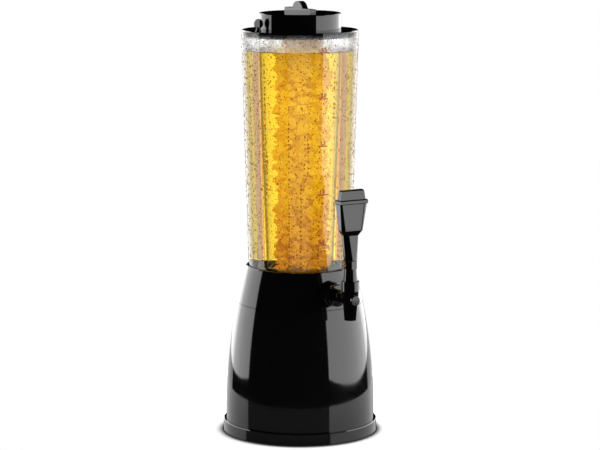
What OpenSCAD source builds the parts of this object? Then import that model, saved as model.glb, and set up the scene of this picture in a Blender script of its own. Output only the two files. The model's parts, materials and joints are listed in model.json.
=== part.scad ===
// Table-top drink tower: a clear tapered reservoir with a hanging ice chamber stands in a
// bell-shaped base, and a lever tap in the base collar draws the drink off.
// +Z is up, the tap points to -Y, and the origin is the middle of the foot's underside.

/* [Foot] */
// Outer radius of the foot ring
foot_r = 90; // [70:0.5:120]
// Height of the foot ring above the table
foot_h = 14; // [12:0.2:24]
// Thickness of the foot ring's wall
foot_wall = 3.6; // [2.5:0.1:6]
// Thickness of the foot's floor
foot_floor = 3; // [2.5:0.1:5]
// How far the shell sinks into the top of the foot ring
foot_seat = 2; // [1:0.1:4]
// How far the rubber pad stands back from the foot's edge
pad_step = 8; // [5:0.5:20]
// Thickness of the rubber pad
pad_t = 1.6; // [1:0.1:4]
// How far the pad stands out below the foot
pad_proud = 0.6; // [0.2:0.1:1]

/* [Base] */
// How far the shell stands back from the foot's edge
shell_step = 3.3; // [2:0.1:4]
// Width of the collar's rim around the reservoir
rim_w = 3.1; // [2.5:0.1:6]
// Height where the shell's side starts to curve inwards
belly_z = 20; // [16:0.5:60]
// Height of the collar's upper rim
rim_z = 196.8; // [150:0.2:230]
// Height of the collar from its seam to its rim
collar_h = 43; // [40:0.2:60]
// How sharply the side curves in towards the rim
bulge = 2.15; // [1.4:0.05:3]
// Wall of the shell and the collar
base_wall = 3; // [2:0.1:5]
// Thickness of the deck that carries the reservoir
deck_t = 3; // [2:0.1:5]
// Depth of the collar's lip inside the shell
lip_h = 3.2; // [2:0.1:3.6]
// Number of ribs under the deck between two screws
bay_ribs = 3; // [1:1:5]
// Height of the ribs under the deck
rib_h = 22; // [8:1:60]

/* [Reservoir] */
// Outer radius of the reservoir where it leaves the collar
tube_r = 59.6; // [50:0.1:66]
// Growth of the reservoir's radius for each mm of height
tube_slope = 0.029; // [0.015:0.001:0.034]
// Wall of the reservoir
tube_wall = 2.5; // [1.8:0.1:4]
// Thickness of the reservoir's floor
tube_floor = 3; // [2:0.1:5]
// Height of the reservoir over the collar's rim
tube_h = 271.8; // [150:0.2:330]
// Thickness of the gasket under the reservoir
gasket_t = 1.5; // [1:0.1:3]
// Width of the gasket under the reservoir
gasket_w = 10.8; // [6:0.2:20]

/* [Tap] */
// Depth of the tap's level axis below the collar's rim
tap_drop = 23.7; // [22:0.1:26]
// Distance from the shank's flange to the tap's upright axis
tap_reach = 26.5; // [24:0.5:40]
// Radius of the threaded shank
shank_r = 7.3; // [6.8:0.1:8]
// Radius of the valve's bore
bore_r = 5.4; // [5.2:0.1:5.6]
// Radius of the shank's outer flange
flange_r = 12.9; // [12:0.1:16]
// Length of the shank's outer flange
flange_l = 7.4; // [6:0.1:10]
// How far the collar's tap boss stands out of its side
boss_out = 9.2; // [8:0.1:14]
// Radius of the collar's tap boss
boss_r = 13.8; // [13:0.1:17]
// Thickness of the outer tap washer
washer_t = 1.6; // [1:0.1:3]
// Thickness of the inner washers at the reservoir's wall
inner_washer_t = 2; // [1:0.1:3]
// Width across the flats of the shank's nut
nut_af = 24; // [20:0.5:26]
// Thickness of the shank's nut
nut_t = 7; // [5:0.5:9]
// Depth of the spout's tip below the tap's level axis
spout_l = 23.5; // [20:0.2:34]
// Height of the tap's body over its level axis
body_h = 10; // [9.5:0.1:12]
// Height of the bonnet
bonnet_h = 11.25; // [10.5:0.05:11.3]
// Outer radius of the bonnet
bonnet_r = 10.25; // [10:0.05:11]
// Radius of the body just under the bonnet
body_r = 9.6; // [9.2:0.1:10]
// Radius of the spout's tip
spout_r = 6.9; // [6.2:0.1:8]
// Radius of the spout's bore
spout_bore_r = 4.4; // [3:0.1:4.8]
// Radius of the cap in front of the tap
cap_r = 5.7; // [5:0.1:7]
// Thickness of the cap in front of the tap
cap_t = 2.6; // [2:0.1:4]
// Radius of the piston's shaft
piston_r = 1.9; // [1.5:0.1:2.2]

/* [Handle] */
// Height of the handle's lower end over the lever's ball
stem_l = 27.4; // [24:0.2:36]
// Length of the handle's neck
neck_l = 29.5; // [20:0.5:40]
// Length of the sloping shoulder over the neck
shoulder_l = 5.6; // [4:0.2:10]
// Length of the handle's broad panel
panel_l = 30; // [20:0.5:45]
// Height of the ridge over the panel
ridge_h = 5; // [3:0.2:8]
// Height of the block on top of the ridge
crown_h = 11; // [5:0.2:16]
// Width of the ridge
ridge_w = 36.2; // [30:0.2:46]
// Width of the head under the ridge
head_w = 35.2; // [28:0.2:44]
// Width of the head at the shoulder
head_low_w = 28; // [22:0.2:34]
// Depth of the head from front to back
head_depth = 12; // [10:0.5:20]
// How far the head leans forward of the handle's axis
lean = 1.6; // [0:0.1:3]
// Depth of the shallow recess in the front panel
recess_t = 0.7; // [0.3:0.1:1.5]
// Width of the neck where it meets the shoulder
neck_w = 19.6; // [14:0.2:24]
// Radius of the round lower end of the neck
neck_r = 7.8; // [6.5:0.1:9]
// Width across the flats of the nut that locks the handle
lock_nut_af = 13; // [12:0.5:14]

/* [Lid and ice chamber] */
// How far the lid's rim stands back from the reservoir's edge
lid_step = 0.4; // [0.2:0.1:2]
// Thickness of the lid's disc
lid_t = 2.5; // [2:0.1:4]
// Depth of the skirt that plugs the reservoir
skirt_h = 5; // [4.6:0.2:12]
// How much smaller the ice chamber's radius is than the reservoir's
ice_space = 23.4; // [22:0.2:32]
// Growth of the ice chamber's radius for each mm of height
ice_slope = 0.0264; // [0.01:0.0002:0.03]
// Wall of the ice chamber
ice_wall = 1.5; // [1.5:0.1:3]
// Gap for the drink between the reservoir's floor and the ice chamber
ice_gap = 38.2; // [36:0.2:80]
// Width of the ice chamber's top flange
ice_flange_w = 5; // [3:0.5:6]
// How far the ice chamber's cap stands out around the chamber
drum_w = 11.4; // [10:0.2:12]
// Height of the ice chamber's cap over the lid
drum_h = 19.5; // [14:0.5:28]
// Wall of the ice chamber's cap
drum_wall = 2.5; // [2:0.1:4]
// Length of the grip bar across the cap
grip_l = 59; // [45:0.5:80]
// Thickness of the grip bar
grip_w = 7.5; // [5:0.5:12]
// Height of the grip bar
grip_h = 5; // [3:0.5:8]
// Radius of the half disc that rises from the grip bar
hump_r = 12.4; // [9:0.2:16]
// Gap between the vent plug's stem and the lid's skirt
vent_gap = 4.5; // [1:0.1:6]
// Radius of the vent plug's thumb disc
thumb_r = 5.6; // [5:0.1:8]
// Thickness of the vent plug's thumb disc
thumb_t = 1.8; // [1.6:0.1:4]
// Radius of the vent hole
vent_r = 2.6; // [1.8:0.1:3]

/* [Fits and fasteners] */
// Gap between fixed pieces that slip over each other
slip = 0.3; // [0.2:0.05:0.4]
// Radial gap of pieces that turn or slide
run = 0.06; // [0.02:0.01:0.1]
// Number of screws in each ring of screws
screw_count = 4; // [2:2:8]
// Radius of a screw's shaft
screw_r = 1.6; // [1.2:0.1:2]
// Radius of a screw's head
head_r = 3.2; // [2.6:0.1:4]
// Height of a screw's head
head_h = 1.9; // [1.4:0.1:2.2]

/* [Hidden] */
$fn = 96;
profile_steps = 16;
eps = 0.01;

// Heights and radii in the base
foot_under = pad_proud;
floor_top = pad_t + foot_floor;
shell_bottom = foot_h - foot_seat;
pad_r = foot_r - pad_step;
shell_r = foot_r - shell_step;
rim_r = tube_r + slip + rim_w;
seam_z = rim_z - collar_h;
deck_top = seam_z - lip_h - slip;
tube_bottom = deck_top + gasket_t;
first_screw = 45;
rib_count = bay_ribs * screw_count;
gasket_in = tube_r - 3.4 - gasket_w;
ice_r = tube_r - ice_space;
tube_top_z = rim_z + tube_h;
lid_top = tube_top_z + lid_t;
ice_bottom_z = tube_bottom + tube_floor + ice_gap;

// Heights on the tap and its handle
tap_z = rim_z - tap_drop;
spout_z = tap_z - spout_l;
bonnet_z = tap_z + body_h;
pivot_z = bonnet_z + 7;
handle_z = pivot_z + stem_l;

// Radii of the tapered pieces at a height
function side_share(z) = max(0, z - belly_z) / (rim_z - belly_z);
function base_r(z) = shell_r - (shell_r - rim_r) * pow(side_share(z), bulge);
function tube_out(z) = tube_r + (z - rim_z) * tube_slope;
function tube_in(z) = tube_out(z) - tube_wall;
function ice_out(z) = ice_r + (z - lid_top) * ice_slope;
function body_out(z) = spout_r + (body_r - spout_r) * (z - spout_z) / (bonnet_z - spout_z);
function side_points(low, high, inset) = [
    for (i = [0 : profile_steps])
        let (z = low + (high - low) * i / profile_steps)
            [base_r(z) - inset, z]
];

// Stack of pieces along the tap's level axis, as distances from the tower's axis
tap_pad_r = 13;
boss_d = base_r(tap_z) + boss_out;
tube_flat_d = sqrt(pow(tube_r + slip / 2, 2) - pow(tap_pad_r, 2));
tube_inner_d = tube_flat_d - 5;
collar_flat_d = tube_flat_d + inner_washer_t;
nut_d = tube_inner_d - inner_washer_t - nut_t;
shank_end_d = nut_d - 1.5;
flange_d = boss_d + washer_t;
flange_end_d = flange_d + flange_l;
flange_web = 0.9;
tap_d = flange_end_d + tap_reach;
seat_d = tap_d - 16;
cap_d = tap_d + body_out(tap_z) + 0.3;

// Valve and lever
ball_r = 6.5;
tip_r = 1.9;
rod_r = 1.3;
cup_z = bonnet_z + bonnet_h;
sleeve_z = pivot_z + 4.3;
sleeve_low_r = bonnet_r - 2.15;
sleeve_high_r = sleeve_low_r - 1;
lock_nut_h = 9;
lock_nut_z = handle_z - lock_nut_h;
stud_r = 2.5;
stud_top = handle_z + 0.55 * neck_l;
chamber_r = 6;
piston_end_d = cap_d + cap_t - 1.2;
seat_bore_r = piston_r + 1.5;

// Lid
lid_r = tube_out(tube_top_z) - lid_step;
skirt_low = tube_top_z - skirt_h;
skirt_r = tube_in(skirt_low) - 0.9;
skirt_wall = 2.2;
ice_flange_t = 2;
ice_seal_t = 1.5;
drum_r = ice_r + drum_w;
vent_d = skirt_r - skirt_wall - vent_r - vent_gap;
drum_top = lid_top + drum_h;
drum_round = 2;
grip_z = drum_top;
thumb_z = lid_top + 2.6 + thumb_r;
thumb_stem_r = vent_r - run;
vent_head_r = vent_r + 0.9;

// Turns a shape drawn upwards from z = 0 so that it points along the tap's level axis,
// starting at distance d from the tower's axis
module along_tap(d) {
    translate([0, -d, tap_z])
        rotate([90, 0, 0])
            children();
}

// Copies a shape at radius r in the ring of screws
module at_screws(r) {
    for (i = [0 : screw_count - 1])
        rotate([0, 0, first_screw + i * 360 / screw_count])
            translate([r, 0, 0])
                children();
}

// Upright washer or sleeve
module ring(r_out, r_in, z, h) {
    translate([0, 0, z])
        difference() {
            cylinder(r = r_out, h = h);
            translate([0, 0, -1])
                cylinder(r = r_in, h = h + 2);
        }
}

// Washer or sleeve along the tap's level axis
module tap_ring(r_out, r_in, d, h) {
    along_tap(d)
        ring(r_out, r_in, 0, h);
}

// Pan head screw pointing up, with its head's underside at z
module screw(z, length) {
    translate([0, 0, z])
        cylinder(r = screw_r, h = length);
    translate([0, 0, z - head_h])
        cylinder(r1 = head_r - 0.6, r2 = head_r, h = head_h);
}

foot_screw_r = shell_r - base_wall - 12;
foot_screw_l = 20;
foot_boss_r = 4.6;
foot_boss_top = floor_top + 2 * foot_screw_l;
lip_r = base_r(seam_z) - base_wall - slip;
deck_screw_r = (tube_r + lip_r) / 2;
deck_screw_l = 14;
deck_boss_r = (lip_r - tube_r) / 2 - 1.2;

module non_slip_pad() {
    color("#1c1c1e")
        cylinder(r = pad_r, h = pad_t);
}

// Foot ring with a seat for the shell and a low ring that centres it
module foot() {
    seat_r = shell_r + slip;
    centre_r = shell_r - base_wall - slip;
    color("#1a1a1d")
        difference() {
            rotate_extrude()
                polygon([
                    [0, pad_t], [pad_r + slip, pad_t], [pad_r + slip, foot_under],
                    [foot_r - 0.6, foot_under], [foot_r, foot_under + 0.6],
                    [foot_r, foot_h - 0.8], [foot_r - 0.8, foot_h], [seat_r, foot_h],
                    [seat_r, shell_bottom], [foot_r - foot_wall, shell_bottom],
                    [foot_r - foot_wall, floor_top], [centre_r, floor_top],
                    [centre_r, foot_h + 4], [centre_r - 2.6, foot_h + 4],
                    [centre_r - 2.6, floor_top], [0, floor_top]
                ]);
            at_screws(foot_screw_r) {
                translate([0, 0, pad_t - 1])
                    cylinder(r = head_r + slip, h = head_h + 1);
                cylinder(r = screw_r + slip, h = foot_h);
            }
        }
}

module foot_screws() {
    color("#b9bcc0")
        at_screws(foot_screw_r)
            screw(pad_t + head_h, foot_screw_l);
}

// Bell-shaped shell with the deck that carries the reservoir, and ribs under the deck
module base_shell() {
    deck_low = deck_top - deck_t;
    deck_edge = base_r(deck_low) - base_wall / 2;
    boss_low = floor_top;
    color("#111114")
        difference() {
            union() {
                rotate_extrude()
                    polygon(concat(
                        side_points(shell_bottom, seam_z - 0.3, 0),
                        [[base_r(seam_z) - 0.4, seam_z]],
                        [for (i = [profile_steps : -1 : 0])
                            side_points(shell_bottom, seam_z, base_wall)[i]]
                    ));
                ring(deck_edge, gasket_in - 8, deck_low, deck_t);
                ring(gasket_in - 5, gasket_in - 8, deck_low - 6, 6 + eps);
                for (i = [0 : rib_count - 1])
                    rotate([0, 0, first_screw + (i + 0.5) * 360 / rib_count])
                        deck_rib(deck_low);
                at_screws(foot_screw_r) {
                    translate([0, 0, boss_low])
                        cylinder(r = foot_boss_r, h = foot_boss_top - boss_low);
                    translate([0, -1.2, foot_h + 6])
                        cube([base_r(foot_boss_top) - base_wall / 2 - foot_screw_r, 2.4,
                            foot_boss_top - foot_h - 6]);
                }
            }
            at_screws(foot_screw_r)
                cylinder(r = screw_r + run, h = pad_t + head_h + foot_screw_l + 2);
            at_screws(deck_screw_r)
                translate([0, 0, deck_low - 1])
                    cylinder(r = screw_r + slip, h = deck_t + 2);
        }
}

// Triangular rib from the deck's inner ring to the shell's wall
module deck_rib(deck_low) {
    inner = gasket_in - 6;
    rotate([90, 0, 0])
        translate([0, 0, -1.1])
            linear_extrude(2.2)
                polygon([
                    [inner, deck_low + eps], [inner, deck_low - 6],
                    [base_r(deck_low - rib_h) - base_wall / 2, deck_low - rib_h],
                    [base_r(deck_low) - base_wall / 2, deck_low + eps]
                ]);
}

module collar_screws() {
    color("#b9bcc0")
        at_screws(deck_screw_r)
            screw(deck_top - deck_t, deck_screw_l);
}

// Upper collar with its inturned rim, the lip inside the shell, and the tap boss
module base_collar() {
    hole_r = tube_r + slip;
    color("#111114")
        difference() {
            union() {
                rotate_extrude()
                    polygon(concat(
                        [[lip_r, seam_z - lip_h], [lip_r, seam_z],
                            [base_r(seam_z) - 0.4, seam_z]],
                        side_points(seam_z + 0.3, rim_z - 0.8, 0),
                        [[rim_r - 0.8, rim_z], [hole_r, rim_z], [hole_r, rim_z - 5]],
                        [for (i = [profile_steps : -1 : 0])
                            side_points(seam_z, rim_z - 9, base_wall)[i]],
                        [[lip_r - 2, seam_z], [lip_r - 2, seam_z - lip_h]]
                    ));
                along_tap(collar_flat_d)
                    cylinder(r1 = boss_r + 0.5, r2 = boss_r, h = boss_d - collar_flat_d - 0.8);
                along_tap(boss_d - 0.8 - eps)
                    cylinder(r1 = boss_r, r2 = boss_r - 0.8, h = 0.8 + eps);
                at_screws(deck_screw_r)
                    collar_boss();
            }
            along_tap(collar_flat_d - 1)
                cylinder(r = shank_r + 0.2, h = boss_d - collar_flat_d + 2);
            at_screws(deck_screw_r)
                cylinder(r = screw_r + run, h = deck_top - deck_t + deck_screw_l + 1);
        }
}

// Screw boss of the collar with a short rib to its wall
module collar_boss() {
    boss_top = deck_top + deck_screw_l + 2;
    translate([0, 0, deck_top])
        cylinder(r = deck_boss_r, h = boss_top - deck_top);
    translate([0, -1, seam_z + 1])
        cube([base_r(boss_top) - base_wall / 2 - deck_screw_r, 2, boss_top - seam_z - 1]);
}

module reservoir_gasket() {
    color("#d8d8d4")
        ring(tube_out(tube_bottom) - 2, gasket_in, deck_top, gasket_t);
}

// Clear tapered reservoir with a closed floor and a flat pad for the tap
module reservoir_tube() {
    floor_z = tube_bottom + tube_floor;
    color([0.85, 0.9, 0.95, 0.4])
        difference() {
            union() {
                rotate_extrude()
                    polygon([
                        [0, tube_bottom], [tube_out(tube_bottom) - 1.5, tube_bottom],
                        [tube_out(tube_bottom + 1.5), tube_bottom + 1.5],
                        [tube_out(tube_top_z), tube_top_z], [tube_in(tube_top_z), tube_top_z],
                        [tube_in(floor_z + 2), floor_z + 2], [tube_in(floor_z) - 2, floor_z],
                        [0, floor_z]
                    ]);
                along_tap(tube_inner_d)
                    cylinder(r = tap_pad_r, h = tube_flat_d - tube_inner_d);
            }
            along_tap(tube_flat_d)
                cylinder(r = tap_pad_r, h = 10);
            along_tap(tube_inner_d - 1)
                cylinder(r = shank_r + 0.2, h = 12);
        }
}

module inner_washer() {
    color("#d8d8d4")
        tap_ring(tap_pad_r - 1, shank_r + 0.1, tube_inner_d - inner_washer_t, inner_washer_t);
}

module collar_washer() {
    color("#d8d8d4")
        tap_ring(tap_pad_r - 1, shank_r + 0.1, tube_flat_d, inner_washer_t);
}

module outer_washer() {
    color("#26262a")
        tap_ring(flange_r - 0.6, shank_r + 0.1, boss_d, washer_t);
}

module shank_nut() {
    color("#17171a")
        along_tap(nut_d)
            difference() {
                intersection() {
                    cylinder(r = nut_af / sqrt(3), h = nut_t, $fn = 6);
                    cylinder(r1 = nut_af / 2 - 0.2, r2 = nut_af / 2 + nut_t, h = nut_t);
                }
                translate([0, 0, -1])
                    cylinder(r = shank_r + run, h = nut_t + 2);
            }
}

// Shank with its outer flange, which the tap's body screws into
module tap_shank() {
    color("#141417")
        difference() {
            union() {
                along_tap(shank_end_d)
                    cylinder(r = shank_r, h = flange_d - shank_end_d + eps);
                along_tap(flange_d)
                    cylinder(r = flange_r, h = flange_l - 0.9);
                along_tap(flange_end_d - 0.9 - eps)
                    cylinder(r1 = flange_r, r2 = flange_r - 0.9, h = 0.9 + eps);
            }
            along_tap(shank_end_d - 1)
                cylinder(r = bore_r, h = flange_end_d - shank_end_d + 2);
            along_tap(flange_d + flange_web)
                cylinder(r = shank_r + run, h = flange_l);
        }
}

// Upright body with the level valve bore, the valve seat and the spout
module tap_body() {
    rear_d = flange_d + flange_web;
    color("#101013")
        difference() {
            union() {
                translate([0, -tap_d, spout_z])
                    cylinder(r1 = spout_r, r2 = body_r, h = bonnet_z - spout_z);
                along_tap(rear_d)
                    cylinder(r = shank_r, h = tap_d - rear_d - 2);
            }
            along_tap(rear_d - 1)
                cylinder(r = bore_r, h = seat_d - rear_d + 1);
            along_tap(rear_d)
                cylinder(r = seat_bore_r, h = tap_d - rear_d);
            along_tap(seat_d + 3)
                cylinder(r = 4.8, h = tap_d - seat_d - 3);
            along_tap(tap_d)
                cylinder(r = 3.6, h = 2 * body_r);
            translate([0, -tap_d, spout_z - 1])
                cylinder(r = spout_bore_r, h = tap_z - spout_z + 1);
            translate([0, -tap_d, tap_z - chamber_r])
                cylinder(r = chamber_r, h = bonnet_z - tap_z + chamber_r + 1);
            translate([0, -tap_d, bonnet_z - 3])
                cylinder(r = chamber_r + 1.2, h = 4);
        }
}

// Bonnet that holds the lever's ball, with a flared cup in which the sleeve tilts
module tap_bonnet() {
    color("#17171a")
        translate([0, -tap_d, 0])
            difference() {
                union() {
                    translate([0, 0, bonnet_z])
                        cylinder(r = bonnet_r, h = bonnet_h - 0.3);
                    translate([0, 0, cup_z - 0.3 - eps])
                        cylinder(r1 = bonnet_r, r2 = bonnet_r - 0.2, h = 0.3 + eps);
                    translate([0, 0, bonnet_z - 2.9])
                        cylinder(r = chamber_r + 1.15, h = 3);
                }
                translate([0, 0, pivot_z])
                    sphere(r = ball_r + run);
                translate([0, 0, bonnet_z - 4])
                    cylinder(r = 5, h = 8);
                translate([0, 0, pivot_z + 1.2])
                    cylinder(r1 = bonnet_r - 1.1, r2 = bonnet_r - 0.42, h = 3.1);
            }
}

module tap_front_cap() {
    color("#2a2a2e")
        difference() {
            union() {
                along_tap(cap_d - 4.9)
                    cylinder(r = 3.5, h = 5);
                along_tap(cap_d)
                    cylinder(r = cap_r, h = cap_t - 0.5);
                along_tap(cap_d + cap_t - 0.5 - eps)
                    cylinder(r1 = cap_r, r2 = cap_r - 0.5, h = 0.5 + eps);
            }
            along_tap(cap_d - 6)
                cylinder(r = piston_r + run, h = cap_t + 5.2);
        }
}

// Lever turned in one piece: tip, ball, flared sleeve and the stud for the handle
module tap_lever() {
    color("#101013")
        translate([0, -tap_d, 0]) {
            translate([0, 0, tap_z])
                sphere(r = tip_r);
            translate([0, 0, tap_z])
                cylinder(r = rod_r, h = pivot_z - tap_z);
            difference() {
                translate([0, 0, pivot_z])
                    sphere(r = ball_r);
                translate([0, 0, pivot_z - ball_r - 1])
                    cylinder(r = ball_r, h = 3);
            }
            rotate_extrude()
                polygon([
                    [0, pivot_z], [4.8, pivot_z], [4.8, sleeve_z], [sleeve_low_r, sleeve_z],
                    [sleeve_high_r, lock_nut_z], [stud_r, lock_nut_z], [stud_r, stud_top],
                    [0, stud_top]
                ]);
        }
}

module handle_lock_nut() {
    color("#17171a")
        translate([0, -tap_d, lock_nut_z])
            difference() {
                rotate([0, 0, 11.5])
                    cylinder(r = lock_nut_af / sqrt(3), h = lock_nut_h, $fn = 6);
                translate([0, 0, -1])
                    cylinder(r = stud_r + run, h = lock_nut_h + 2);
            }
}

// Cross-section of the handle, with its front corners cut back by edge across and bevel deep
module handle_section(w, z, edge, bevel, shift) {
    front = -head_depth / 2;
    translate([0, -shift, z])
        linear_extrude(eps)
            polygon([
                [0.8 - w / 2, -front], [w / 2 - 0.8, -front], [w / 2, -front - 0.8],
                [w / 2, front + bevel], [w / 2 - edge, front], [edge - w / 2, front],
                [-w / 2, front + bevel], [-w / 2, -front - 0.8]
            ]);
}

// Flat slab of the handle, centred on its axis
module slab(w, d, z, h) {
    translate([-w / 2, -d / 2, z])
        cube([w, d, h]);
}

// Lofted paddle handle with its ridge, its crown and a framed front panel
module tap_handle() {
    shoulder_z = handle_z + neck_l;
    panel_z = shoulder_z + shoulder_l;
    ridge_z = panel_z + panel_l;
    crown_z = ridge_z + ridge_h;
    crown_d = head_depth * 0.6;
    color("#26262a")
        translate([0, -tap_d, 0])
            difference() {
                union() {
                    hull() {
                        translate([0, 0, handle_z])
                            cylinder(r = neck_r - 0.6, h = eps, $fn = 32);
                        translate([0, 0, handle_z + 0.8])
                            cylinder(r = neck_r, h = eps, $fn = 32);
                        handle_section(neck_w, shoulder_z, 4, 6.6, lean / 2);
                    }
                    hull() {
                        handle_section(neck_w, shoulder_z, 4, 6.6, lean / 2);
                        handle_section(head_low_w, panel_z, 3, 4.6, lean);
                    }
                    hull() {
                        handle_section(head_low_w, panel_z, 3, 4.6, lean);
                        handle_section(head_w, ridge_z, 2.4, 1.4, lean);
                    }
                    translate([0, -lean, 0]) {
                        hull() {
                            slab(ridge_w, head_depth + 0.6, ridge_z + 0.8, ridge_h - 2);
                            slab(ridge_w - 1.6, head_depth - 1, ridge_z, ridge_h);
                        }
                        hull() {
                            slab(ridge_w - 3.8, crown_d, crown_z - eps, eps);
                            slab(ridge_w - 6.4, crown_d - 1.2, crown_z + crown_h - 1.4, eps);
                            slab(ridge_w - 8.6, crown_d - 3, crown_z + crown_h - eps, eps);
                        }
                    }
                }
                translate([0, -lean - head_depth / 2 - eps, 0])
                    rotate([-90, 0, 0])
                        translate([0, -ridge_z, 0])
                            linear_extrude(recess_t)
                                panel_outline();
                translate([0, 0, handle_z - 1])
                    cylinder(r = stud_r + run, h = stud_top - handle_z + 2);
            }
}

// Outline of the recess in the front panel, measured down from the ridge
module panel_outline() {
    frame = 4;
    top_half = head_w / 2 - frame;
    low_half = head_low_w / 2 - frame;
    low = panel_l - 1;
    polygon([[-top_half, 0.6], [top_half, 0.6], [low_half, low], [-low_half, low]]);
}

// Sliding piston: head behind the seat, shaft, and the slotted block that the lever moves
module valve_piston() {
    head_d = seat_d - 4.6;
    block_l = 8;
    color("#e8e8e4")
        difference() {
            union() {
                along_tap(head_d)
                    cylinder(r = bore_r - 1, h = 3);
                along_tap(head_d)
                    cylinder(r = piston_r, h = piston_end_d - head_d);
                intersection() {
                    along_tap(tap_d - block_l / 2)
                        cylinder(r = 4.4, h = block_l);
                    translate([-5, -tap_d - 6, tap_z - 5])
                        cube([10, 12, 7.4]);
                }
            }
            translate([0, -tap_d, tap_z - 6])
                cylinder(r = tip_r + 0.1, h = 12);
        }
}

module valve_seal() {
    color("#c9c9c4")
        tap_ring(bore_r - 0.7, piston_r, seat_d - 1.6, 1.6);
}

// Lid's disc with its plug skirt, the hole for the ice chamber and the vent hole
module lid_disc() {
    hole_r = ice_out(lid_top) + 0.4;
    groove_r = skirt_r - 0.9;
    groove_z = skirt_low + skirt_h / 2;
    color("#121215")
        difference() {
            rotate_extrude()
                polygon([
                    [hole_r, skirt_low + 3], [hole_r + 1.8, skirt_low + 3],
                    [hole_r + 1.8, tube_top_z], [skirt_r - skirt_wall, tube_top_z],
                    [skirt_r - skirt_wall, skirt_low], [skirt_r - 0.4, skirt_low],
                    [skirt_r, skirt_low + 0.4], [skirt_r, groove_z - 1.2],
                    [groove_r, groove_z - 1.2], [groove_r, groove_z + 1.2],
                    [skirt_r, groove_z + 1.2], [skirt_r, tube_top_z],
                    [lid_r - 0.5, tube_top_z], [lid_r, tube_top_z + 0.5],
                    [lid_r, lid_top - 0.7], [lid_r - 0.7, lid_top], [hole_r, lid_top]
                ]);
            translate([-vent_d, 0, tube_top_z - 1])
                cylinder(r = vent_r, h = lid_t + 2);
        }
}

module lid_seal() {
    groove_z = skirt_low + skirt_h / 2;
    seal_r = tube_in(groove_z - 1) - 0.08;
    color("#d8d8d4")
        rotate_extrude()
            polygon([
                [skirt_r - 0.9, groove_z - 1], [seal_r - 0.3, groove_z - 1], [seal_r, groove_z - 0.7],
                [seal_r, groove_z + 0.7], [seal_r - 0.3, groove_z + 1], [skirt_r - 0.9, groove_z + 1]
            ]);
}

// Vent plug: a stem in the lid's vent hole under a round thumb disc
module vent_plug() {
    color("#1a1a1d")
        translate([-vent_d, 0, 0]) {
            translate([0, 0, tube_top_z - 3])
                cylinder(r = thumb_stem_r, h = lid_t + 3 + eps);
            translate([0, 0, lid_top])
                cylinder(r = vent_head_r, h = 1);
            translate([0, 0, lid_top + 1 - eps])
                cylinder(r = thumb_stem_r, h = 3.2);
            translate([0, thumb_t / 2, thumb_z])
                rotate([90, 0, 0])
                    cylinder(r = thumb_r, h = thumb_t);
        }
}

// Clear tapered ice chamber, closed below, that hangs in the lid by its flange
module ice_tube() {
    low = ice_out(ice_bottom_z);
    flange_top = lid_top + ice_flange_t;
    color([0.85, 0.9, 0.95, 0.4])
        rotate_extrude()
            polygon([
                [0, ice_bottom_z], [low - 3, ice_bottom_z], [low - 1, ice_bottom_z + 1],
                [low, ice_bottom_z + 3], [ice_out(lid_top), lid_top],
                [ice_r + ice_flange_w, lid_top], [ice_r + ice_flange_w, flange_top],
                [ice_out(flange_top) - ice_wall, flange_top],
                [low - ice_wall, ice_bottom_z + 3], [low - ice_wall - 1, ice_bottom_z + ice_wall],
                [0, ice_bottom_z + ice_wall]
            ]);
}

module ice_tube_seal() {
    color("#d8d8d4")
        ring(ice_r + ice_flange_w - 0.5, ice_r + 0.5, lid_top + ice_flange_t, ice_seal_t);
}

// Cap of the ice chamber, hollow below, with a ring that presses on the seal
module ice_cap() {
    press_low = lid_top + ice_flange_t + ice_seal_t;
    top_low = drum_top - drum_wall;
    color("#121215")
        rotate_extrude()
            polygon(concat(
                [[drum_r - drum_wall, lid_top], [drum_r, lid_top]],
                [for (a = [0 : 15 : 90])
                    [drum_r - drum_round * (1 - cos(a)), drum_top - drum_round * (1 - sin(a))]],
                [
                    [0, drum_top], [0, top_low], [ice_r + 1, top_low], [ice_r + 1, press_low],
                    [ice_r + 4, press_low], [ice_r + 4, top_low],
                    [drum_r - drum_wall - 1, top_low], [drum_r - drum_wall, top_low - 1]
                ]
            ));
}

// Grip: a bar across the cap with a half disc rising from its middle
module cap_grip() {
    color("#1a1a1d")
        intersection() {
            union() {
                translate([-grip_w / 2, -grip_l / 2, grip_z])
                    cube([grip_w, grip_l, grip_h]);
                translate([-grip_w / 2, 0, grip_z + 0.7])
                    rotate([0, 90, 0])
                        cylinder(r = hump_r, h = grip_w);
            }
            translate([-grip_w, -grip_l / 2, grip_z])
                cube([2 * grip_w, grip_l, hump_r + 2]);
        }
}

non_slip_pad();
foot();
foot_screws();
base_shell();
collar_screws();
base_collar();
reservoir_gasket();
reservoir_tube();
inner_washer();
collar_washer();
shank_nut();
outer_washer();
tap_shank();
tap_body();
tap_bonnet();
tap_front_cap();
tap_lever();
handle_lock_nut();
tap_handle();
valve_piston();
valve_seal();
lid_disc();
lid_seal();
vent_plug();
ice_tube();
ice_tube_seal();
ice_cap();
cap_grip();
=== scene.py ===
# %% [markdown]
# # Beer tower dispenser
# A clear tapered reservoir full of lager stands in a bell-shaped base of glossy black
# plastic. Crushed ice sits in a clear chamber that hangs in the drink, and a lever tap
# stands out of the base. The CAD model gives every solid part its shape and its place,
# so this script dresses it: finishes, drink, ice, dew, printed marks, studio and camera.
# The frame is loaded first, because everything else is placed by it, in metres.

# %% Load the frame
import json
import math
import random

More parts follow.
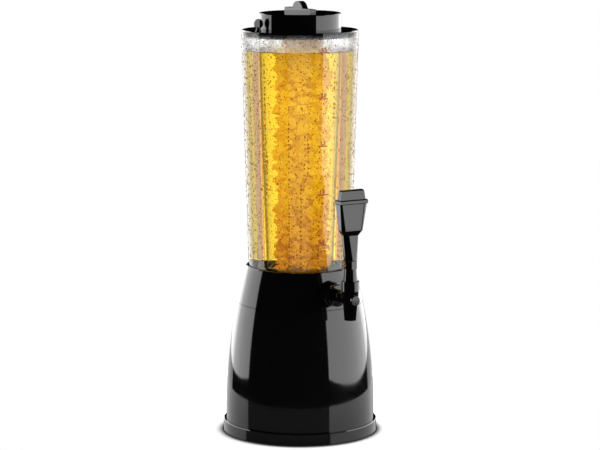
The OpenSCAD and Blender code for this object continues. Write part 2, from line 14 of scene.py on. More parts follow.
import bmesh
import bpy
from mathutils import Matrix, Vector


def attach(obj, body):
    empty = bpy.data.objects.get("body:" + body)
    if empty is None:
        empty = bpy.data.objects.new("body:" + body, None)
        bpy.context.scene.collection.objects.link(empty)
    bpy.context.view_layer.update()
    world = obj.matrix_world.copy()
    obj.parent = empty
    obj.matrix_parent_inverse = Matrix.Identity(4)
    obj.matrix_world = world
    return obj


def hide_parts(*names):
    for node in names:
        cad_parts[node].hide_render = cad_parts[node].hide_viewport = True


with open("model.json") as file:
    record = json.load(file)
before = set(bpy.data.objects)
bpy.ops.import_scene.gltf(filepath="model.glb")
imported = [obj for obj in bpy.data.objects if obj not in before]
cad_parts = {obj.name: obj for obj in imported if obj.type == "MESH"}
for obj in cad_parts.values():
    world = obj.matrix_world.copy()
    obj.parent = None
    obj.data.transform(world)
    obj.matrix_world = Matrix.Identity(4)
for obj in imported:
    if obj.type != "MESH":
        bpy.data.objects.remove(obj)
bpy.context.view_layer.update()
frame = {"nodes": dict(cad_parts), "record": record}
cad = frame["nodes"]
scene = bpy.context.scene

# %% [markdown]
# ## Camera
# The photograph was taken with a long lens from 30 degrees to the left of the tap and
# from a little above. How flat each round edge looks gives the camera's height, and how
# that changes from foot to lid gives its distance. The lens follows from the size of one
# radian in the photograph's pixels.

# %% Camera
def new_object(name, data, body=None):
    """A new object in the scene, which rides on a body if one is named."""
    made = bpy.data.objects.new(name, data)
    scene.collection.objects.link(made)
    if body:
        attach(made, body)
    return made


camera_turn, camera_distance, camera_height = math.radians(-30), 2.706, 0.665
camera_pitch = math.radians(8.866)
pixels_per_radian, photo_width, film_width = 2346.5, 600, 36
camera = new_object("photo_camera", bpy.data.cameras.new("photo_camera"))
camera.location = (camera_distance * math.sin(camera_turn),
                   -camera_distance * math.cos(camera_turn), camera_height)
camera.rotation_euler = (math.pi / 2 - camera_pitch, 0, camera_turn)
camera.data.sensor_width = film_width
camera.data.lens = pixels_per_radian * film_width / photo_width
scene.camera = camera
print("Lens in mm:", round(camera.data.lens, 1))

# %% [markdown]
# ## Colours and shader nodes
# Colours are written as they are picked on a screen, in sRGB, but Cycles works in linear
# light, so one function turns a hex value into linear numbers. Another adds a shader
# node, sets it and links it. A finish starts as an empty material and ends in a
# Principled shader, which two more functions take care of.

# %% Colours and shader nodes
def colour(hex_value):
    """Linear RGBA of an sRGB hex value."""
    parts = [int(hex_value[i:i + 2], 16) / 255 for i in (1, 3, 5)]
    linear = [c / 12.92 if c <= 0.04045 else ((c + 0.055) / 1.055) ** 2.4 for c in parts]
    return (*linear, 1)


def add(tree, kind, inputs={}, **settings):
    """Adds a shader node with its settings. An input takes a value, or an output to link."""
    made = tree.nodes.new("ShaderNode" + kind)
    for name, value in settings.items():
        setattr(made, name, value)
    for name, value in inputs.items():
        if isinstance(value, bpy.types.NodeSocket):
            tree.links.new(value, made.inputs[name])
        else:
            made.inputs[name].default_value = value
    return made


def new_finish(name):
    """An empty material and its node tree."""
    material = bpy.data.materials.new(name)
    material.use_nodes = True
    material.node_tree.nodes.clear()
    return material, material.node_tree


def coat(material, inputs, **more):
    """Ends a finish in a Principled shader, and links more to the output if it is given."""
    tree = material.node_tree
    shader = add(tree, "BsdfPrincipled", inputs)
    add(tree, "OutputMaterial", {"Surface": shader.outputs["BSDF"], **more})
    print("Finish", material.name, "has", len(tree.nodes), "nodes")


print("The screen grey #808080 in linear light:", round(colour("#808080")[0], 3))

# %% [markdown]
# ## Patterns
# No real surface is even, so nearly every finish has a pattern in it. A texture node
# counts how often its pattern repeats in a metre. These functions take the pattern's size
# in millimetres instead, so that it can be checked against the object. The others turn a
# pattern into a look: a ramp of colours, a change of range and a relief.

# %% Patterns
mm = 0.001


def noise(tree, place, size, detail, roughness=0.5):
    """Noise from 0 to 1 with lumps about this many millimetres across."""
    return add(tree, "TexNoise", {"Vector": place, "Scale": 1000 / size, "Detail": detail,
                                  "Roughness": roughness}).outputs["Fac"]


def shades(tree, share, *hexes):
    """A colour ramp with these colours evenly spaced, driven by share."""
    ramp = add(tree, "ValToRGB", {"Fac": share})
    points = ramp.color_ramp.elements
    while len(points) < len(hexes):
        points.new(0.5)
    for i, value in enumerate(hexes):
        points[i].position = i / (len(hexes) - 1)
        points[i].color = colour(value)
    return ramp.outputs["Color"]


def remap(tree, value, low, high, to_low=0, to_high=1):
    """Takes a value that goes from low to high to the range to_low to to_high."""
    return add(tree, "MapRange", {"Value": value, "From Min": low, "From Max": high,
                                  "To Min": to_low, "To Max": to_high}).outputs["Result"]


def bump(tree, height, strength, depth, **more):
    """The normal of a relief this many millimetres deep."""
    return add(tree, "Bump", {"Height": height, "Strength": strength,
                              "Distance": depth * mm, **more}).outputs["Normal"]


print("One millimetre in metres:", mm)

# %% [markdown]
# ## Gloss black ABS
# The base, the tap, the handle and the lid are ABS moulded in polished tools. Polished
# ABS has an IOR of about 1.54 and mirrors the studio, and its black is nearly pure. Two
# things tell it from paint: a faint orange peel about 3 mm across, where the plastic
# shrank in the tool, and a haze of fine wear that makes some places a little less
# polished than others.

# %% Gloss black ABS
black_abs, tree = new_finish("gloss_black_abs")
place = add(tree, "TexCoord").outputs["Object"]
peel = noise(tree, place, 3, 1)
haze = noise(tree, place, 35, 4, 0.6)
coat(black_abs, {"Base Color": shades(tree, haze, "#060607", "#0A0A0C"), "IOR": 1.54,
                 "Roughness": remap(tree, haze, 0.3, 0.7, 0.035, 0.085),
                 "Normal": bump(tree, peel, 0.12, 0.03)})

# %% [markdown]
# ## Sizes of the two clear walls
# The drink, the ice, the dew and the marks all follow the walls of the reservoir and of
# the ice chamber. Both widen upwards in a straight line, so two short functions give
# their outer radius at any height, in millimetres as in the CAD source.

# %% Wall sizes
reservoir_wall, chamber_wall = 2.5, 1.5
reservoir_widens, chamber_widens = 0.029, 0.0264
floor_level, chamber_bottom, drink_level, lid_level = 154.8, 193.0, 447.5, 468.6


def reservoir_radius(z):
    return 59.6 + (z - 196.8) * reservoir_widens


def chamber_radius(z):
    return 36.2 + (z - 471.1) * chamber_widens


print("Reservoir at the drink's surface:", round(2 * reservoir_radius(drink_level), 1), "mm across")

# %% [markdown]
# ## Sums and blends
# The clear walls and the studio need sums on a place or a direction, and colours that
# change from one to another with it. A maths node does one step of a sum, and a mix node
# blends two colours.

# %% Sums and blends
def calc(tree, operation, *values):
    """One step of a sum with these outputs and numbers."""
    return add(tree, "Math", dict(enumerate(values)), operation=operation).outputs[0]


def blend(tree, share, first, second):
    """Goes from the first colour to the second one as share goes from 0 to 1."""
    return add(tree, "Mix", {"Factor": share, "A": first, "B": second},
               data_type="RGBA").outputs["Result"]


# %% [markdown]
# ## Clear SAN
# The reservoir and the ice chamber are moulded in SAN, a clear hard plastic with an IOR
# of 1.57. Its walls carry slow waves from the way the plastic flowed up the tool, about
# 25 mm long. A cold reservoir also has thousands of beads of water outside, each a
# millimetre or two across. Beads bend light as small lenses do, so they are drawn as a
# relief: each cell of a Voronoi pattern with 2.7 mm cells holds one round dome, and each
# dome is wider or narrower as its cell's own colour says. A bead turns the view behind it
# upside down and shows the dark base as a brown dot, so a brown dot is painted into its
# heart: a painted image of the base. The beads are only on the reservoir's outer face,
# which lies further from the axis than the middle of its wall, and only where the camera
# meets it first: the far wall's beads, seen through the drink, would be stretched into
# scratches.

# %% Clear SAN
clear_san, tree = new_finish("clear_san")
bead_cell, mid_wall_at_zero = 2.7, 0.0527
place = add(tree, "TexCoord").outputs["Object"]
flow = noise(tree, place, 25, 2)
cells = add(tree, "TexVoronoi", {"Vector": place, "Scale": 1000 / bead_cell})
flat_place = add(tree, "VectorMath", {0: place, 1: (1, 1, 0)}, operation="MULTIPLY").outputs[0]
radius = add(tree, "VectorMath", {0: flat_place}, operation="LENGTH").outputs["Value"]
height = add(tree, "SeparateXYZ", {"Vector": place}).outputs["Z"]
radius_at_zero = calc(tree, "MULTIPLY_ADD", height, -reservoir_widens, radius)
outer = calc(tree, "GREATER_THAN", radius_at_zero, mid_wall_at_zero)
cell_colour = add(tree, "SeparateColor", {"Color": cells.outputs["Color"]}).outputs["Red"]
reach = remap(tree, cell_colour, 0.25, 1, 0.08, 0.38)
dome = calc(tree, "POWER", remap(tree, cells.outputs["Distance"], reach, 0), 0.6)
beads = calc(tree, "MULTIPLY", dome, outer)
seen_first = add(tree, "LightPath").outputs["Is Camera Ray"]
beads = calc(tree, "MULTIPLY", beads, seen_first)
# The brown blended into each bead's heart is a painted image of the dark base behind it.
coat(clear_san, {"Base Color": blend(tree, beads, shades(tree, flow, "#FBFDFD", "#FFFFFF"),
                                     colour("#845024")),
                 "Roughness": 0.02, "IOR": 1.57, "Transmission Weight": 1,
                 "Normal": bump(tree, beads, 1, 0.5, Normal=bump(tree, flow, 0.2, 0.4))})

# %% [markdown]
# ## Rubber
# The pad under the foot and the washer outside the collar are moulded rubber, which is
# dull and black with a fine grain.

# %% Rubber
rubber, tree = new_finish("moulded_rubber")
place = add(tree, "TexCoord").outputs["Object"]
grain = noise(tree, place, 0.8, 3)
coat(rubber, {"Base Color": shades(tree, grain, "#141415", "#232325"), "Roughness": 0.7,
              "IOR": 1.52, "Normal": bump(tree, grain, 0.5, 0.1)})

# %% [markdown]
# ## Silicone
# The gasket, the inner washers and the seals are silicone, which is milky and lets some
# light in. Only the ring in the lid's skirt is black, because it shows through the
# reservoir and the photograph has black there.

# %% Milky silicone
silicone, tree = new_finish("milky_silicone")
place = add(tree, "TexCoord").outputs["Object"]
coat(silicone, {"Base Color": shades(tree, noise(tree, place, 6, 3), "#D6D5CE", "#E9E8E2"),
                "Roughness": 0.45, "IOR": 1.41, "Transmission Weight": 0.25,
                "Subsurface Weight": 0.2, "Subsurface Radius": (0.004, 0.004, 0.003)})

# %% Black silicone
black_silicone, tree = new_finish("black_silicone")
place = add(tree, "TexCoord").outputs["Object"]
coat(black_silicone, {"Base Color": shades(tree, noise(tree, place, 6, 3), "#0D0D0E", "#161618"),
                      "Roughness": 0.4, "IOR": 1.41})

# %% [markdown]
# ## Zinc plated steel
# The screws are steel with a bright zinc plating. It is a metal, so it keeps the default
# IOR, and it shows the ridges of the die. A wave node makes about 3.15 ridges in each
# unit of its scale.

# %% Zinc plated steel
def ridges(tree, place, pitch, distortion, axis):
    """Ridges about this many millimetres apart along an axis."""
    return add(tree, "TexWave", {"Vector": place, "Scale": 1000 / 3.15 / pitch,
                                 "Distortion": distortion}, bands_direction=axis).outputs["Fac"]


zinc_steel, tree = new_finish("zinc_plated_steel")
place = add(tree, "TexCoord").outputs["Object"]
die_marks = ridges(tree, place, 1.4, 0.6, "Z")
plating = noise(tree, place, 4, 4)
coat(zinc_steel, {"Base Color": shades(tree, plating, "#AEB2B6", "#CDD0D2"), "Metallic": 1,
                  "Roughness": remap(tree, plating, 0, 1, 0.22, 0.45),
                  "Normal": bump(tree, die_marks, 0.3, 0.1)})

# %% [markdown]
# ## Acetal
# Acetal is the waxy white plastic that taps use for pistons, because it slides well when
# wet. It is turned from rod, so it has fine rings.

# %% Acetal
acetal, tree = new_finish("white_acetal")
place = add(tree, "TexCoord").outputs["Object"]
turning = ridges(tree, place, 1, 0.4, "Y")
coat(acetal, {"Base Color": shades(tree, turning, "#DEDDD6", "#E8E7E1"), "Roughness": 0.38,
              "IOR": 1.48, "Normal": bump(tree, turning, 0.2, 0.05)})

# %% [markdown]
# ## Give the CAD parts their finishes
# The CAD record names a slot for each part. The same table is used here, so that the
# reader sees at once which part is made of what. The black seal is the only exception.

# %% Finish the CAD parts
finish_of_slot = {"gloss_black_abs": black_abs, "clear_san": clear_san, "rubber": rubber,
                  "silicone": silicone, "screw_steel": zinc_steel, "white_acetal": acetal}
finish_of_node = {"lid_seal": black_silicone}
for part in frame["record"]["subparts"]:
    name, finish = part["node"], finish_of_slot[part["material_slot"]]
    cad[name].data.materials.clear()
    cad[name].data.materials.append(finish_of_node.get(name, finish))
print("CAD parts finished:", len(cad))

# %% [markdown]
# ## A turned shape
# Most of what fills a round tower is round too. This helper turns a profile of
# (radius, height) points about the tower's axis, shades it smooth and keeps the edges
# that are sharper than 35 degrees.

# %% Turned shapes
def make_piece(name, points, faces, finish, body):
    """A smooth mesh piece from points in millimetres, which rides on a body if one is named."""
    mesh = bpy.data.meshes.new(name)
    mesh.from_pydata([[v * mm for v in p] for p in points], [], faces)
    mesh.validate()
    mesh.materials.append(finish)
    mesh.shade_smooth()
    mesh.set_sharp_from_angle(angle=math.radians(35))
    print("Faces of", name + ":", len(mesh.polygons))
    return new_object(name, mesh, body)


def turn(name, profile, finish, body, steps=128, closed=False):
    """A piece turned from its (radius, height) profile, listed anticlockwise."""
    points, faces, rings = [], [], []
    for r, z in profile:
        ring = []
        for i in range(steps if r > 0 else 1):
            a = 2 * math.pi * i / steps
            ring.append(len(points))
            points.append((r * math.cos(a), r * math.sin(a), z))
        rings.append(ring)
    pairs = list(zip(rings, rings[1:])) + ([(rings[-1], rings[0])] if closed else [])
    for low, high in pairs:
        for i in range(steps):
            j = (i + 1) % steps
            corners = [low[i % len(low)], low[j % len(low)],
                       high[j % len(high)], high[i % len(high)]]
            faces.append(list(dict.fromkeys(corners)))
    return make_piece(name, points, faces, finish, body)


# %% [markdown]
# ## Bell-shaped shell
# The lower shell is the largest gloss surface, and a soft lamp's edge mirrored in it shows
# every facet. The CAD mesh of the shell has long facets whose normals jump a little, so
# the shell is turned again here from the same curve in rings 2.5 mm high, with the same
# wall and the same deck that carries the reservoir. The real one is moulded, and its tool
# was turned and polished in just this way.

# %% Bell-shaped shell
shell_low, shell_high, shell_wall, shell_rings, edge_break = 12, 153.8, 3, 56, 0.3
deck_high, deck_low, deck_lip_low, deck_hole, deck_lip = 150.3, 147.3, 141.3, 37.4, 40.4
bell_width, bell_narrows, bell_start, bell_height, bell_bulge = 86.7, 23.7, 20, 176.8, 2.15


def bell_radius(z):
    return bell_width - bell_narrows * max(0, (z - bell_start) / bell_height) ** bell_bulge


heights = [shell_low + (shell_high - edge_break - shell_low) * i / shell_rings
           for i in range(shell_rings + 1)]
outside = [(bell_radius(z), z) for z in heights] + [(bell_radius(shell_high) - 0.4, shell_high)]
deck = [(bell_radius(shell_high) - shell_wall, shell_high),
        (bell_radius(deck_high) - shell_wall, deck_high), (deck_hole, deck_high),
        (deck_hole, deck_lip_low), (deck_lip, deck_lip_low), (deck_lip, deck_low)]
inside = [(bell_radius(z) - shell_wall, z) for z in reversed(heights) if z < deck_low]
shell = turn("bell_shell", outside + deck + inside, black_abs, "tower", steps=192, closed=True)
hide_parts("base_shell")

# %% [markdown]
# ## Lager
# The drink is what gives the tower its colour. Real lager is clear water with a little
# colour in its depth, so it is a refracting surface with an IOR of 1.34 round a volume
# that absorbs blue strongly, green a little and red hardly at all. A thin layer is pale
# yellow and a thick one amber, as in a real glass. The drink reaches half a millimetre
# into the clear walls: light then passes from plastic to drink with no air between, which
# is what lets the drink look as wide as the reservoir. At the wall its surface climbs a
# little, as water does in a glass.

# %% Lager
lager, tree = new_finish("lager")
depth = add(tree, "VolumeAbsorption", {"Color": (0.985, 0.86, 0.03, 1), "Density": 30})
coat(lager, {"Base Color": (1, 1, 1, 1), "Roughness": 0, "IOR": 1.34,
             "Transmission Weight": 1}, Volume=depth.outputs["Volume"])

sink, drink_rings = 0.5, 12
drink_low = floor_level + 1
heights = [drink_low + i * (drink_level - drink_low) / drink_rings for i in range(drink_rings + 1)]
outside = [(reservoir_radius(z) - reservoir_wall + sink, z) for z in heights]
rim = reservoir_radius(drink_level) - reservoir_wall
climb = ((0, 1.3), (0.8, 0.6), (2.4, 0.1), (5, 0))
surface = [(rim - inwards, drink_level + rise) for inwards, rise in climb] + [(0, drink_level)]
bottom = [(0, floor_level - sink), (outside[0][0] - 3, floor_level - sink)]
drink = turn("lager", bottom + outside + surface, lager, "tower")

# %% [markdown]
# ## Crushed ice
# Crushed ice is a heap of angular lumps 8 to 18 mm across, cloudy with trapped air. A
# rough surface with an IOR of 1.31 scatters the light. The ice above the drink is dry and
# pale. Below the drink's surface it is lit only through the drink, and that light is painted
# into its colour: yellow, and a deeper amber further down. Light also wanders inside real
# ice from lump to lump, which would take far too many rays, so the lumps have a faint
# painted glow in their own colour instead.

# %% Ice finish
crushed_ice, tree = new_finish("crushed_ice")
place = add(tree, "TexCoord").outputs["Object"]
height = add(tree, "SeparateXYZ", {"Vector": place}).outputs["Z"]
frost = noise(tree, place, 7, 5, 0.65)
# Painted light: the yellow and amber stand for light through the drink, and the deeper amber lower
# down is painted too.
painted_drink_light = blend(tree, remap(tree, height, 0.21, 0.31), shades(tree, frost, "#CC9826", "#E2B644"),
            shades(tree, frost, "#E6C23C", "#EED656", "#F6E990"))
ice_colour_and_painted_light = blend(tree, remap(tree, height, 0.452, 0.444), shades(tree, frost, "#A88C66", "#DCCAAC"),
             painted_drink_light)
# The lumps also glow faintly in these colours: a painted glow.
coat(crushed_ice, {"Base Color": ice_colour_and_painted_light, "Roughness": 0.3, "IOR": 1.31,
                   "Transmission Weight": 0.1, "Normal": bump(tree, frost, 0.5, 0.6),
                   "Emission Color": ice_colour_and_painted_light, "Emission Strength": 0.16})

# %% [markdown]
# ## Heap of ice
# Each lump is the hull of eleven random points. The lumps are put into the chamber layer
# by layer, in two rings with one lump in the middle, and any corner that would pass
# through the chamber's wall is pressed flat against it. The heap leans a little to one
# side, as it does in the photograph. It rides on the ice chamber, so it lifts out with it.

# %% Heap of ice
chance = random.Random(11)
heap = bmesh.new()
heap_top, heap_x, heap_y, layer, lump_corners = 466, 1.7, -1, 6.5, 11


def pressed(corner):
    """Moves a lump's corner back inside the chamber, and returns it."""
    across = math.hypot(corner.x, corner.y)
    wall = chamber_radius(corner.z) - chamber_wall - 0.3
    if across > wall:
        corner.x, corner.y = corner.x * wall / across, corner.y * wall / across
    corner.z = max(chamber_bottom + chamber_wall + 0.4, min(corner.z, heap_top + 3))
    return corner


def lump(centre, size):
    """Adds one lump about this centre to the heap."""
    corners = []
    for _ in range(lump_corners):
        way = Vector([chance.gauss(0, 1) for _ in range(3)]).normalized()
        corner = centre + way * size * chance.uniform(0.75, 1.1)
        corners.append(heap.verts.new(pressed(corner) * mm))
    hull = bmesh.ops.convex_hull(heap, input=corners, use_existing_faces=False)
    spare = [g for g in hull["geom_interior"] + hull["geom_unused"]
             if isinstance(g, bmesh.types.BMVert) and g.is_valid]
    bmesh.ops.delete(heap, geom=list(set(spare)), context="VERTS")


z = chamber_bottom + 6
while z < heap_top:
    outer_ring = min(chamber_radius(z) - chamber_wall - 5.5, 18)
    for count, ring in ((11, outer_ring), (6, 9.5), (1, 1)):
        for i in range(count):
            angle = 2 * math.pi * (i + chance.random()) / count
            out = ring + chance.uniform(-2, 2)
            centre = Vector((heap_x + out * math.cos(angle), heap_y + out * math.sin(angle),
                             z + chance.uniform(-3, 3)))
            lump(centre, chance.uniform(4.5, 9))
    z += layer
mesh = bpy.data.meshes.new("crushed_ice")
heap.to_mesh(mesh)
heap.free()
mesh.materials.append(crushed_ice)
new_object("crushed_ice", mesh, "ice_chamber")
print("Ice faces:", len(mesh.polygons))

# %% [markdown]
# ## Dew
# A cold tower sweats. Each drop of dew is a low dome that sits on the wall, with its edge
# a little inside the plastic, so that light goes straight from water into the wall. Like
# the beads it shows the dark base upside down, so its water is given a brown colour: a
# painted image of the base. Most drops are under a millimetre, and a few have grown and
# begun to run down in a file. They are one mesh, because thousands of separate objects
# would be slow to handle.

# %% One drop of dew
dew, tree = new_finish("dew")
place = add(tree, "TexCoord").outputs["Object"]
# The brown base colour is a painted image of the dark base seen through the drop.
coat(dew, {"Base Color": colour("#8E5428"), "Roughness": 0.05, "IOR": 1.33,
           "Transmission Weight": 1, "Normal": bump(tree, noise(tree, place, 2, 1), 0.1, 0.1)})

points, faces = [], []
drop_corners, drop_lift = 7, 0.75
drop_rings = ((1.0, -0.12), (0.78, 0.55), (0.4, 0.9))


def drop(angle, z, size, length=1.0):
    """One drop of this radius at an angle and height on the reservoir; length stretches it down."""
    first, lift = len(points), drop_lift * size
    for share, rise in drop_rings:
        for i in range(drop_corners):
            a = 2 * math.pi * i / drop_corners
            u, v = size * share * math.cos(a), size * share * math.sin(a)
            v *= length if v < 0 else 1
            r = reservoir_radius(z + v) + (lift * rise if rise > 0 else rise)
            t = angle + u / reservoir_radius(z)
            points.append((r * math.sin(t), -r * math.cos(t), z + v))
    r = reservoir_radius(z) + lift
    points.append((r * math.sin(angle), -r * math.cos(angle), z))
    top = len(points) - 1
    for ring in (0, 1):
        for i in range(drop_corners):
            j = (i + 1) % drop_corners
            a, b = first + ring * drop_corners, first + (ring + 1) * drop_corners
            faces.append([a + i, a + j, b + j, b + i])
    last = first + 2 * drop_corners
    for i in range(drop_corners):
        faces.append([last + i, last + (i + 1) % drop_corners, top])
    faces.append([first + i for i in reversed(range(drop_corners))])


# %% [markdown]
# ## All the dew
# The drops are spread at random over the part of the reservoir that stands out of the
# base. Each file starts at some height and runs down until chance ends it. The first four,
# given as an angle in radians and a height, are where the photograph shows them most.
# Rays that cross the drink or are mirrored pass the dew by, as they do the beads.

# %% All the dew
chance = random.Random(5)
dew_low, dew_high, file_low = 199, 466, 202
drop_count, file_count = 6400, 46
files_in_photo = ((-1.185, 440), (-1.16, 330), (0.115, 425), (0.16, 300))

for _ in range(drop_count):
    size = 0.36 + 0.75 * chance.random() ** 3
    drop(chance.uniform(-math.pi, math.pi), chance.uniform(dew_low, dew_high), size,
         chance.uniform(1, 1.3))
for i in range(file_count):
    angle, z = chance.uniform(-math.pi, math.pi), chance.uniform(240, 460)
    size = chance.uniform(0.7, 1.15)
    if i < len(files_in_photo):
        (angle, z), size = files_in_photo[i], 1.2
    while z > file_low and chance.random() > 0.05:
        drop(angle + chance.gauss(0, 0.004), z, size * chance.uniform(0.7, 1.2), 1.7)
        z -= chance.uniform(3.2, 8)
drops = make_piece("dew", points, faces, dew, "tower")
drops.visible_transmission = drops.visible_glossy = False

# %% [markdown]
# ## Mist over the drink
# Above the drink the wall is cold and damp inside, and the fine mist there blurs what is
# behind it. It is a very thin clear sleeve just inside the wall, with a rough surface. Fine
# beads in it are partly milky, and more so below the lid's skirt than beside it.

# %% Mist
mist, tree = new_finish("mist")
place = add(tree, "TexCoord").outputs["Object"]
fine_beads = add(tree, "TexVoronoi", {"Vector": place, "Scale": 1000 / 1.6}).outputs["Distance"]
height = add(tree, "SeparateXYZ", {"Vector": place}).outputs["Z"]
milk = remap(tree, height, 0.4645, 0.4625, 0.1, 0.4)
cloudy = remap(tree, fine_beads, 0.15, 0.5, milk, 0.03)
patches = noise(tree, place, 9, 3)
coat(mist, {"Base Color": (1, 1, 1, 1), "IOR": 1.33,
            "Roughness": remap(tree, patches, 0.35, 0.65, 0.15, 0.4),
            "Transmission Weight": calc(tree, "SUBTRACT", 1, cloudy),
            "Normal": bump(tree, fine_beads, 0.6, 0.3)})

mist_low, mist_high, mist_gap, mist_thick = drink_level + 1.6, lid_level - 2.3, 0.05, 0.15
profile = [(reservoir_radius(z) - reservoir_wall - inwards, z) for inwards, z in (
    (mist_gap, mist_low), (mist_gap, mist_high),
    (mist_gap + mist_thick, mist_high), (mist_gap + mist_thick, mist_low))]
sleeve = turn("mist_on_wall", profile, mist, "tower", closed=True)

# %% [markdown]
# ## Printed marks
# Small red figures with a line under each show how much is left, half a litre apart. They
# are screen printed, so they are a tenth of a millimetre thick: text turned into a mesh
# and bent round the wall. They are plain numbers in Blender's own font.

# %% Red ink
red_ink, tree = new_finish("red_screen_ink")
place = add(tree, "TexCoord").outputs["Object"]
coat(red_ink, {"Base Color": shades(tree, noise(tree, place, 0.6, 2), "#8E0014", "#A80A24"),
               "Roughness": 0.5})

ink_thick, ink_gap = 0.1, 0.04


def wrapped(name, mesh, angle, z):
    """Bends a flat mesh, drawn in millimetres, round the reservoir at an angle and height."""
    for v in mesh.vertices:
        u, w, out = v.co
        r = reservoir_radius(z + w) + ink_gap + out
        t = angle + u / reservoir_radius(z)
        v.co = Vector((r * math.sin(t), -r * math.cos(t), z + w)) * mm
    mesh.materials.clear()
    mesh.materials.append(red_ink)
    new_object(name, mesh, "tower")


# %% Printed marks
marks = {"0.5": 229.8, "1.0": 288.1, "1.5": 344.2, "2.0": 398.2, "2.5": 450.7}
scale_angle, figure_size, figure_bolder = math.radians(-6), 5.6, 0.2
line_half_length, line_half_height, line_drop = 5.8, 0.6, 1.6
for litres, z in marks.items():
    ending = litres.replace(".", "_")
    text = bpy.data.curves.new("mark", "FONT")
    text.body, text.size, text.align_x = litres, figure_size, "CENTER"
    text.extrude, text.offset = ink_thick / 2, figure_bolder
    holder = new_object("mark", text)
    bpy.context.view_layer.update()
    mesh = bpy.data.meshes.new_from_object(holder)
    bpy.data.objects.remove(holder)
    wrapped("figure_" + ending, mesh, scale_angle, z)
    line = bmesh.new()
    bmesh.ops.create_grid(line, x_segments=8, y_segments=1, size=1)
    for v in line.verts:
        v.co = (v.co.x * line_half_length, v.co.y * line_half_height - line_drop, ink_thick / 2)
    bmesh.ops.solidify(line, geom=line.faces[:], thickness=ink_thick)
    mesh = bpy.data.meshes.new("line")
    line.to_mesh(mesh)
    line.free()
    wrapped("line_" + ending, mesh, scale_angle, z)
print("Marks placed:", ", ".join(marks))

# %% [markdown]
# ## Floor
# The tower stands on a white table that runs into the white wall with no edge. It glows
# a little as well as catching light, so that it comes out as white as the wall, and it
# goes dark only in the narrow gap under the foot: there ambient occlusion drives a painted
# shadow that takes the table's colour and glow down towards black. A table in a studio
# looks dark where the black base mirrors it, so a mirrored ray meets a dark polished top
# instead. Rays through the clear pieces count as mirrored and as transmitted at once, so
# taking one from the other leaves the true reflections.

# %% Floor
table_white, tree = new_finish("white_table")
paths = add(tree, "LightPath").outputs
open_sky = add(tree, "AmbientOcclusion", {"Distance": 0.02}).outputs["AO"]
# Painted shadow under the foot, found by ambient occlusion: it darkens the table's colour and its
# glow.
painted_contact_shadow = remap(tree, open_sky, 0.56, 0.84, 0.04, 1)
white = blend(tree, painted_contact_shadow, (0, 0, 0, 1), (0.8, 0.8, 0.8, 1))
matte = add(tree, "BsdfDiffuse", {"Color": white}).outputs[0]
glow = add(tree, "Emission", {"Color": (1, 1, 1, 1),
                              "Strength": calc(tree, "MULTIPLY", painted_contact_shadow, 0.55)}).outputs[0]
lit = add(tree, "AddShader", {0: matte, 1: glow}).outputs[0]
polished = add(tree, "BsdfPrincipled", {"Base Color": (0.18, 0.165, 0.17, 1),
                                        "Roughness": 0.12, "IOR": 1.5}).outputs[0]
mirrored = calc(tree, "SUBTRACT", paths["Is Glossy Ray"], paths["Is Transmission Ray"])
shown = add(tree, "MixShader", {0: mirrored, 1: lit, 2: polished}).outputs[0]
add(tree, "OutputMaterial", {"Surface": shown})
table_radius, table_thick = 330, 2
floor = turn("table", [(0, -table_thick), (table_radius, -table_thick), (table_radius, 0), (0, 0)],
             table_white, None)

# %% [markdown]
# ## What each ray meets in the studio
# The studio is a dark room with a white wall behind the tower. The world stands for it,
# and gives each kind of ray what it would meet there. The camera sees plain white. A ray
# through the clear pieces sees the wall bright behind the tower, a narrow, dim and
# reddish gap at each side of it, and less light further round, which gives the drink its
# brown stripes. A ray that was scattered by the ice or the table meets light from above,
# and a ray mirrored in black plastic meets only a low strip of the wall. All this goes
# by the ray's direction. Its height is one number, and the other says how it faces, seen
# from above: 1 is straight away from the camera, 0 to the side and -1 straight back.

# %% Directions in the studio
world = bpy.data.worlds.new("studio")
scene.world = world
world.use_nodes = True
tree = world.node_tree
tree.nodes.clear()


def band(value, middle, half):
    """1 where value is within half of middle, else 0."""
    return calc(tree, "COMPARE", value, middle, half)


def product(*values):
    """The product of these outputs and numbers."""
    total = 1.0
    for value in values:
        total = calc(tree, "MULTIPLY", total, value)
    return total


def opposite(value):
    """1 where value is 0, and 0 where it is 1."""
    return calc(tree, "SUBTRACT", 1, value)


direction = add(tree, "SeparateXYZ", {"Vector": add(tree, "TexCoord").outputs["Generated"]})
x, y, up = (direction.outputs[axis] for axis in "XYZ")
along = calc(tree, "MULTIPLY", x, -math.sin(camera_turn))
along = calc(tree, "MULTIPLY_ADD", y, math.cos(camera_turn), along)
just_over_one = 1.0001  # so that no root of less than 0 and no division by 0 can come
level = calc(tree, "SUBTRACT", just_over_one, calc(tree, "MULTIPLY", up, up))
facing = calc(tree, "DIVIDE", along, calc(tree, "SQRT", level))
sideways = calc(tree, "ABSOLUTE", facing)
print("Nodes for the direction:", len(tree.nodes))

# %% Light of the studio
paths = add(tree, "LightPath").outputs
crossing = paths["Is Transmission Ray"]
scattered = calc(tree, "GREATER_THAN", paths["Diffuse Depth"], 0.5)
wall = remap(tree, band(sideways, 1, 0.1), 0, 1, 0.9, 1.85)
round_the_side = remap(tree, sideways, 0.68, 0.8, 0.6, 1)
wall_height = band(up, -0.28, 0.68)
echo = remap(tree, paths["Glossy Depth"], 0, 1, 1, 0.25)
straight = product(opposite(scattered), product(wall, round_the_side, wall_height, echo))
from_above = product(scattered, band(up, 0.35, 0.65), 2.3)
low_strip = product(band(facing, 1, 0.3), band(up, -0.13, 0.14))
total = paths["Is Camera Ray"]
for light in (product(crossing, calc(tree, "ADD", straight, from_above)),
              product(paths["Is Glossy Ray"], opposite(crossing), low_strip),
              product(paths["Is Diffuse Ray"], 0.35)):
    total = calc(tree, "ADD", light, total)
gap = product(band(sideways, 0.8755, 0.0415), crossing)
warm_gap = blend(tree, gap, (1, 1, 1, 1), (0.58, 0.38, 0.33, 1))
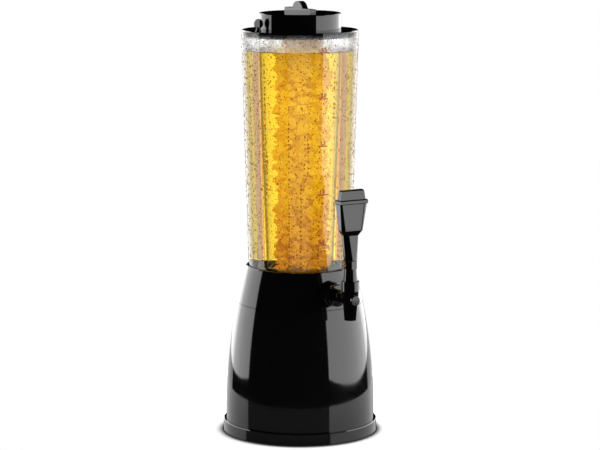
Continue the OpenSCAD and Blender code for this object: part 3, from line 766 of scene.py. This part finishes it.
background = add(tree, "Background", {"Color": warm_gap, "Strength": total})
add(tree, "OutputWorld", {"Surface": background.outputs[0]})
print("Nodes of the studio:", len(tree.nodes))

# %% [markdown]
# ## Lamps
# A large soft lamp stands on each side of the tower. Black gloss plastic shows exactly
# that: two pale panels, one at each side, with black between them. The far part of each
# lamp would also wash the clear walls out to white at their edges, which the photograph
# doesn't show. So that part is two lamps in nearly one place: a weak veil for all pieces,
# and a strong rest that light linking takes off the clear pieces. Together they are as
# bright as the near part.

# %% Lamps
def soft_box(name, turn_by, distance, start, end, low, high, radiance):
    """A soft lamp on a wall that faces the tower, from start to end along that wall in metres."""
    lamp = bpy.data.lights.new(name, "AREA")
    lamp.shape, lamp.size, lamp.size_y = "RECTANGLE", end - start, high - low
    lamp.energy = radiance * math.pi * (end - start) * (high - low)
    holder = new_object(name, lamp)
    a, along_wall = camera_turn + math.radians(turn_by), (start + end) / 2
    holder.location = (distance * math.sin(a) + along_wall * math.cos(a),
                       along_wall * math.sin(a) - distance * math.cos(a), (low + high) / 2)
    holder.rotation_euler = (math.pi / 2, 0, a)
    holder.visible_camera = False
    holder.visible_transmission = False
    return holder


soft_box("left_softbox", -125, 1.0, 0.32, 0.81, -0.07, 1.1, 2.9)
soft_box("left_back_veil", -125, 1.0, -0.81, 0.32, -0.07, 1.1, 1.15)
left_back = soft_box("left_back_softbox", -125, 1.02, -0.81, 0.32, -0.07, 1.1, 1.75)
soft_box("right_softbox", 103, 0.95, -1.5, 0.06, -0.06, 1.1, 3.2)
soft_box("right_back_veil", 103, 0.95, 0.06, 1.5, -0.06, 1.1, 1.3)
right_back = soft_box("right_back_softbox", 103, 0.97, 0.06, 1.5, -0.06, 1.1, 1.9)

clear_pieces = bpy.data.collections.new("pieces_without_side_glare")
for piece in (cad["reservoir_tube"], cad["ice_tube"], drink, drops, sleeve):
    clear_pieces.objects.link(piece)
for entry in clear_pieces.collection_objects:
    entry.light_linking.link_state = "EXCLUDE"
for lamp in (left_back, right_back):
    lamp.light_linking.receiver_collection = clear_pieces

# %% [markdown]
# ## Finish
# The view transform is Standard, so that colours come out as they are written. Light has
# to cross up to fourteen clear surfaces here, so it may bounce 28 times, and the filter
# that blurs light after a bounce is off, because it would smear the drink's sharp
# stripes.

# %% Finish
scene.view_settings.view_transform = "Standard"
scene.cycles.max_bounces = scene.cycles.transmission_bounces = scene.cycles.glossy_bounces = 28
scene.cycles.blur_glossy = 0
